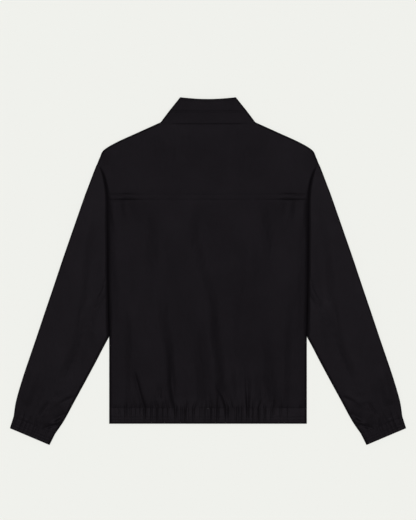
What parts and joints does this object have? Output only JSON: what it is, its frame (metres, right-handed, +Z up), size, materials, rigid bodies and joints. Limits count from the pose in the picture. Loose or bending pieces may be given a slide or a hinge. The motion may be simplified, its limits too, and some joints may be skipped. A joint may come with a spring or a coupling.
{
  "type": "bomber jacket",
  "caption": "Black zip-front bomber jacket laid flat on its front, back upwards, with a stand collar, back yoke, elasticated hem and cuffs.",
  "frame": {"origin": "centre of the bounding box in X and Y, on the surface that the jacket lies on", "axes": "+X across the jacket from its left sleeve to its right sleeve, +Y from the hem to the collar, +Z up from the surface, out of the jacket's back"},
  "size_m": [0.8896, 0.7797, 0.0105],
  "materials": {
    "shell_cloth": "matte",
    "band_cloth": "matte",
    "zip_tape": "matte",
    "zip_metal": "satin"
  },
  "bodies": {
    "root": {"back_yoke": "shell_cloth", "back_body": "shell_cloth", "front_left": "shell_cloth", "front_right": "shell_cloth", "sleeve_left": "shell_cloth", "sleeve_right": "shell_cloth", "collar": "band_cloth", "hem_back": "band_cloth", "hem_front_left": "band_cloth", "hem_front_right": "band_cloth", "cuff_left": "band_cloth", "cuff_right": "band_cloth", "zip_tape_left": "zip_tape", "zip_tape_right": "zip_tape", "zip_chain": "zip_tape", "zip_slider": "zip_metal", "zip_box": "zip_metal"},
    "zip_pull": {"zip_pull": "zip_metal"}
  },
  "joints": [
    {"name": "zip_pull_swing", "type": "hinge", "parent": "root", "child": "zip_pull", "pos_m": [0, 0.315, 0.0015], "axis": [1, 0, 0], "range_deg": [0, 160]}
  ]
}
